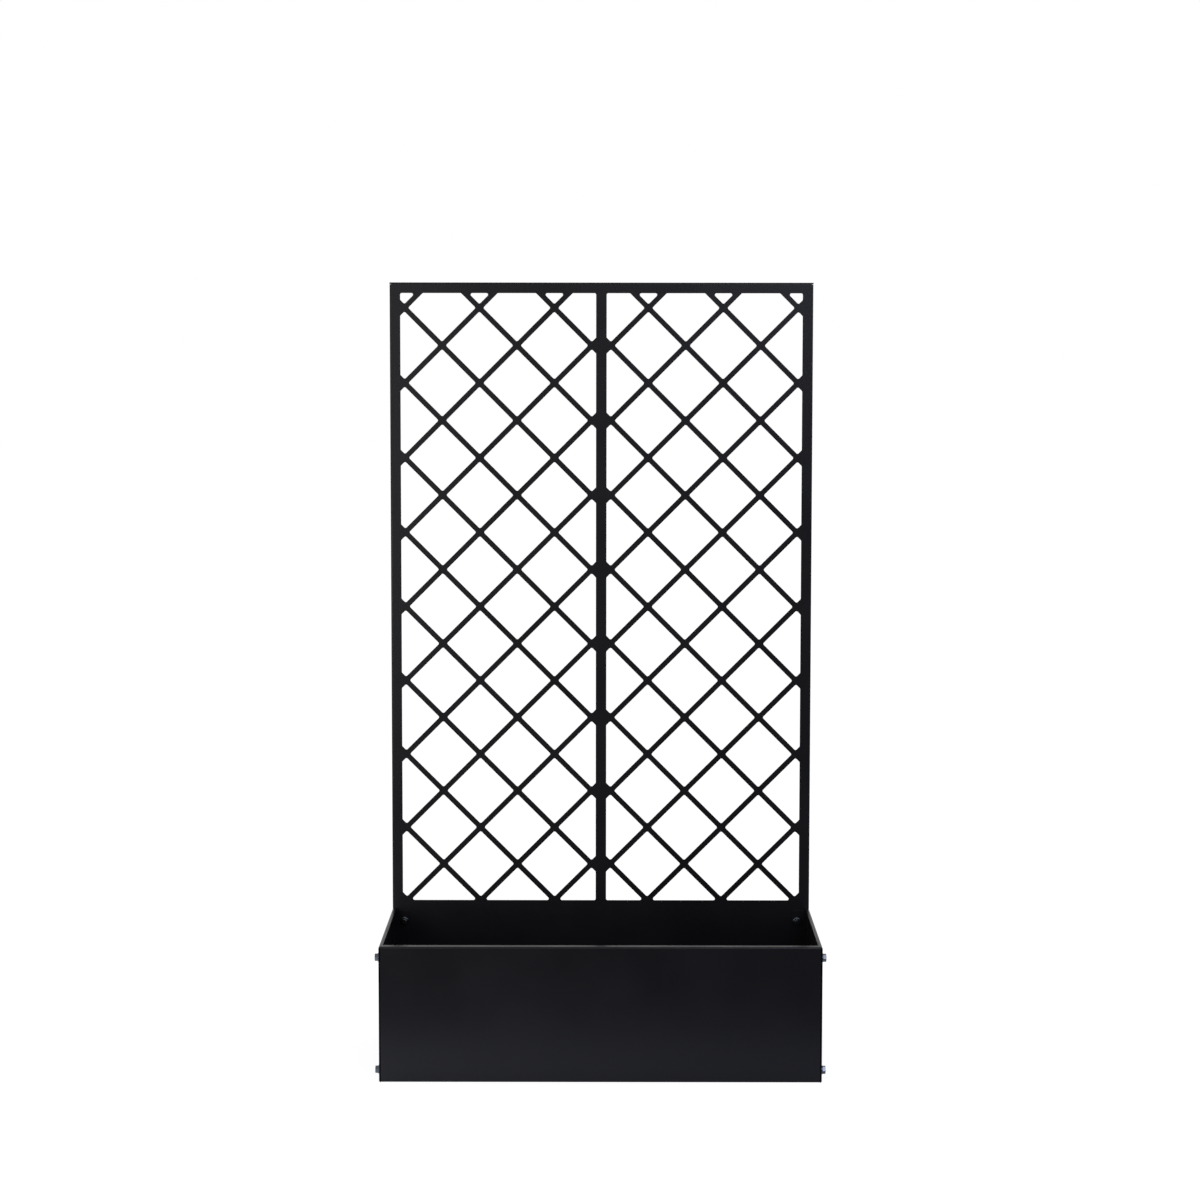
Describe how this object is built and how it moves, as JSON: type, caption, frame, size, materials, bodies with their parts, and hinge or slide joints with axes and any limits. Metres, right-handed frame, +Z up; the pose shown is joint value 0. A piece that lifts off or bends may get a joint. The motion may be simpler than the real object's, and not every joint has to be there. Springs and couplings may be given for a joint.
{
  "type": "planter with trellis",
  "caption": "Rectangular sheet-steel planter box whose back wall rises into a laser-cut diamond lattice for climbing plants, bolted together at the corners.",
  "frame": {"origin": "on the floor, under the middle of the outline", "axes": "+X to the right seen from the front, +Y to the back where the trellis stands, +Z up"},
  "size_m": [0.815, 0.374, 1.444],
  "materials": {
    "powder_coated_steel": "satin black powder coat",
    "zinc_plated_steel": "bright zinc plating"
  },
  "bodies": {
    "root": {"back_left_lower_bolt": "zinc_plated_steel", "back_left_lower_nut": "zinc_plated_steel", "back_left_lower_washer": "zinc_plated_steel", "back_left_upper_bolt": "zinc_plated_steel", "back_left_upper_nut": "zinc_plated_steel", "back_left_upper_washer": "zinc_plated_steel", "back_right_lower_bolt": "zinc_plated_steel", "back_right_lower_nut": "zinc_plated_steel", "back_right_lower_washer": "zinc_plated_steel", "back_right_upper_bolt": "zinc_plated_steel", "back_right_upper_nut": "zinc_plated_steel", "back_right_upper_washer": "zinc_plated_steel", "base_panel": "powder_coated_steel", "front_left_lower_bolt": "zinc_plated_steel", "front_left_lower_nut": "zinc_plated_steel", "front_left_lower_washer": "zinc_plated_steel", "front_left_upper_bolt": "zinc_plated_steel", "front_left_upper_nut": "zinc_plated_steel", "front_left_upper_washer": "zinc_plated_steel", "front_panel": "powder_coated_steel", "front_right_lower_bolt": "zinc_plated_steel", "front_right_lower_nut": "zinc_plated_steel", "front_right_lower_washer": "zinc_plated_steel", "front_right_upper_bolt": "zinc_plated_steel", "front_right_upper_nut": "zinc_plated_steel", "front_right_upper_washer": "zinc_plated_steel", "left_side_panel": "powder_coated_steel", "right_side_panel": "powder_coated_steel", "trellis_panel": "powder_coated_steel"}
  },
  "joints": []
}
